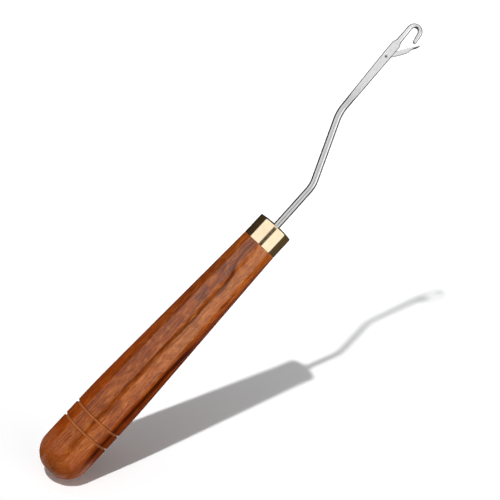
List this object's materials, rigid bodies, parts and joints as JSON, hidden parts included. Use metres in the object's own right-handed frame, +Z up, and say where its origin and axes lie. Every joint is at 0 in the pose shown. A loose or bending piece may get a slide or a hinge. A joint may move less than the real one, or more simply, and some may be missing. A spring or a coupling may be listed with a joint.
{
  "type": "latch hook tool",
  "caption": "Latch hook tool with a turned wooden handle, brass ferrule, cranked steel shank and an open hook closed by a swinging latch.",
  "frame": {"origin": "on the handle's axis, at the middle of the ferrule", "axes": "+X along the handle's axis towards the hook, +Y to the side that the crank steps to, +Z up as the tool lies on its side, along the latch's rivet"},
  "size_m": [0.1646, 0.0194, 0.0156],
  "materials": {
    "varnished_wood": "red-brown rosewood, varnished",
    "ferrule_brass": "drawn and polished",
    "shank_steel": "drawn wire, nickel plated",
    "latch_steel": "stamped, nickel plated",
    "rivet_steel": "staked wire"
  },
  "bodies": {
    "tool": {"handle": "varnished_wood", "ferrule": "ferrule_brass", "shank": "shank_steel", "latch_rivet": "rivet_steel"},
    "latch": {"latch": "latch_steel"}
  },
  "joints": [
    {"name": "latch_pivot", "type": "hinge", "parent": "tool", "child": "latch", "pos_m": [0.0603, 0.01, 0], "axis": [0, 0, 1], "range_deg": [-132, 5.5]}
  ]
}
